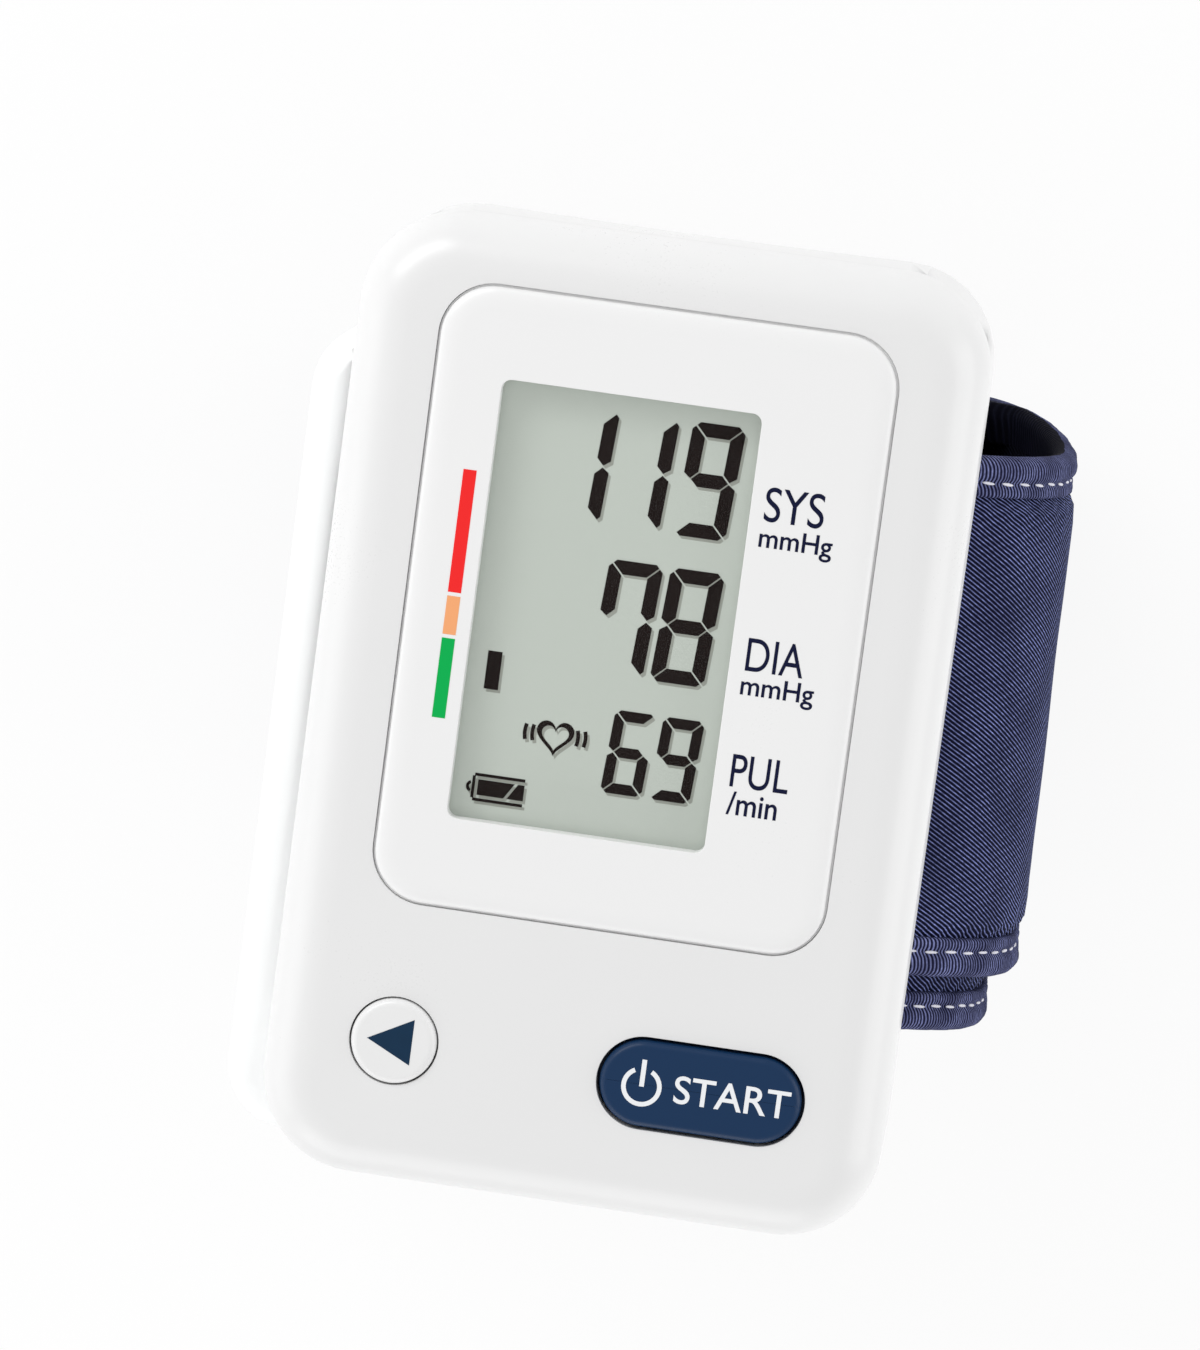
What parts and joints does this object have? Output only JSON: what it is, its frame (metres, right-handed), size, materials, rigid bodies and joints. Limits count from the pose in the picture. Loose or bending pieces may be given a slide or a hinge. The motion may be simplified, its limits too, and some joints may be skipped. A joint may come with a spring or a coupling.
{
  "type": "wrist blood pressure monitor",
  "caption": "Wrist blood pressure monitor: white case with a recessed display and press buttons, side battery cover and a padded navy cuff that laps closed round the wrist.",
  "frame": {"origin": "middle of the cuff's flat foot, below the case's centre", "axes": "+Z out of the display, +Y towards the hand and the display's upper edge, +X to the display's right"},
  "size_m": [0.0741, 0.089, 0.0736],
  "materials": {
    "case_white": "satin white ABS",
    "panel_white": "glossy white ABS",
    "window_clear": "clear acrylic",
    "lcd_glass": "grey green display",
    "frame_white": "white moulding",
    "zebra_rubber": "silicone rubber",
    "board_green": "solder mask",
    "button_navy": "satin navy",
    "button_white": "satin white",
    "cell_wrap": "plain wrapped cell",
    "contact_steel": "nickel plated steel",
    "pump_grey": "dark grey nylon",
    "valve_cream": "cream nylon",
    "tube_silicone": "milky silicone",
    "cuff_fabric": "navy twill",
    "binding_fabric": "navy ribbed binding",
    "lining_fabric": "black pile",
    "bladder_rubber": "grey film",
    "curler_plastic": "translucent sheet"
  },
  "bodies": {
    "monitor": {"front_case": "case_white", "rear_case": "case_white", "display_panel": "panel_white", "display_window": "window_clear", "lcd_module": "lcd_glass", "lcd_frame": "frame_white", "lcd_connector": "zebra_rubber", "start_key_dome": "zebra_rubber", "memory_key_dome": "zebra_rubber", "circuit_board": "board_green", "battery_cell_outer": "cell_wrap", "battery_cell_inner": "cell_wrap", "contact_bridge": "contact_steel", "contact_negative": "contact_steel", "contact_positive": "contact_steel", "negative_spring": "contact_steel", "bridge_spring": "contact_steel", "pump_motor": "contact_steel", "case_screw_1": "contact_steel", "case_screw_2": "contact_steel", "case_screw_3": "contact_steel", "case_screw_4": "contact_steel", "pump_head": "pump_grey", "air_manifold": "pump_grey", "pressure_sensor": "pump_grey", "cuff_nipple": "pump_grey", "cuff_plate": "pump_grey", "exhaust_valve": "valve_cream", "pump_tube": "tube_silicone", "sensor_tube": "tube_silicone", "cuff_band": "cuff_fabric", "binding_arm": "binding_fabric", "binding_hand": "binding_fabric", "cuff_lining": "lining_fabric", "bladder": "bladder_rubber", "curler": "curler_plastic"},
    "start_button": {"start_button": "button_navy"},
    "memory_button": {"memory_button": "button_white"},
    "battery_cover": {"battery_cover": "case_white"},
    "cuff_flap": {"cuff_flap": "cuff_fabric", "hook_patch": "lining_fabric", "flap_binding_arm": "binding_fabric", "flap_binding_hand": "binding_fabric", "flap_binding_tip": "binding_fabric"}
  },
  "joints": [
    {"name": "start_press", "type": "slide", "parent": "monitor", "child": "start_button", "axis": [0, 0, -1], "range_m": [0, 0.0008], "stiffness_N_per_m": 600, "deforming": ["start_key_dome"]},
    {"name": "memory_press", "type": "slide", "parent": "monitor", "child": "memory_button", "axis": [0, 0, -1], "range_m": [0, 0.0008], "stiffness_N_per_m": 600, "deforming": ["memory_key_dome"]},
    {"name": "cover_slide", "type": "slide", "parent": "monitor", "child": "battery_cover", "axis": [-0.9397, 0, -0.342], "range_m": [0, 0.03]},
    {"name": "flap_open", "type": "hinge", "parent": "monitor", "child": "cuff_flap", "pos_m": [0.03466, -0.00055, 0.01123], "axis": [-0.0208, 0.9998, 0], "range_deg": [0, 75]}
  ]
}
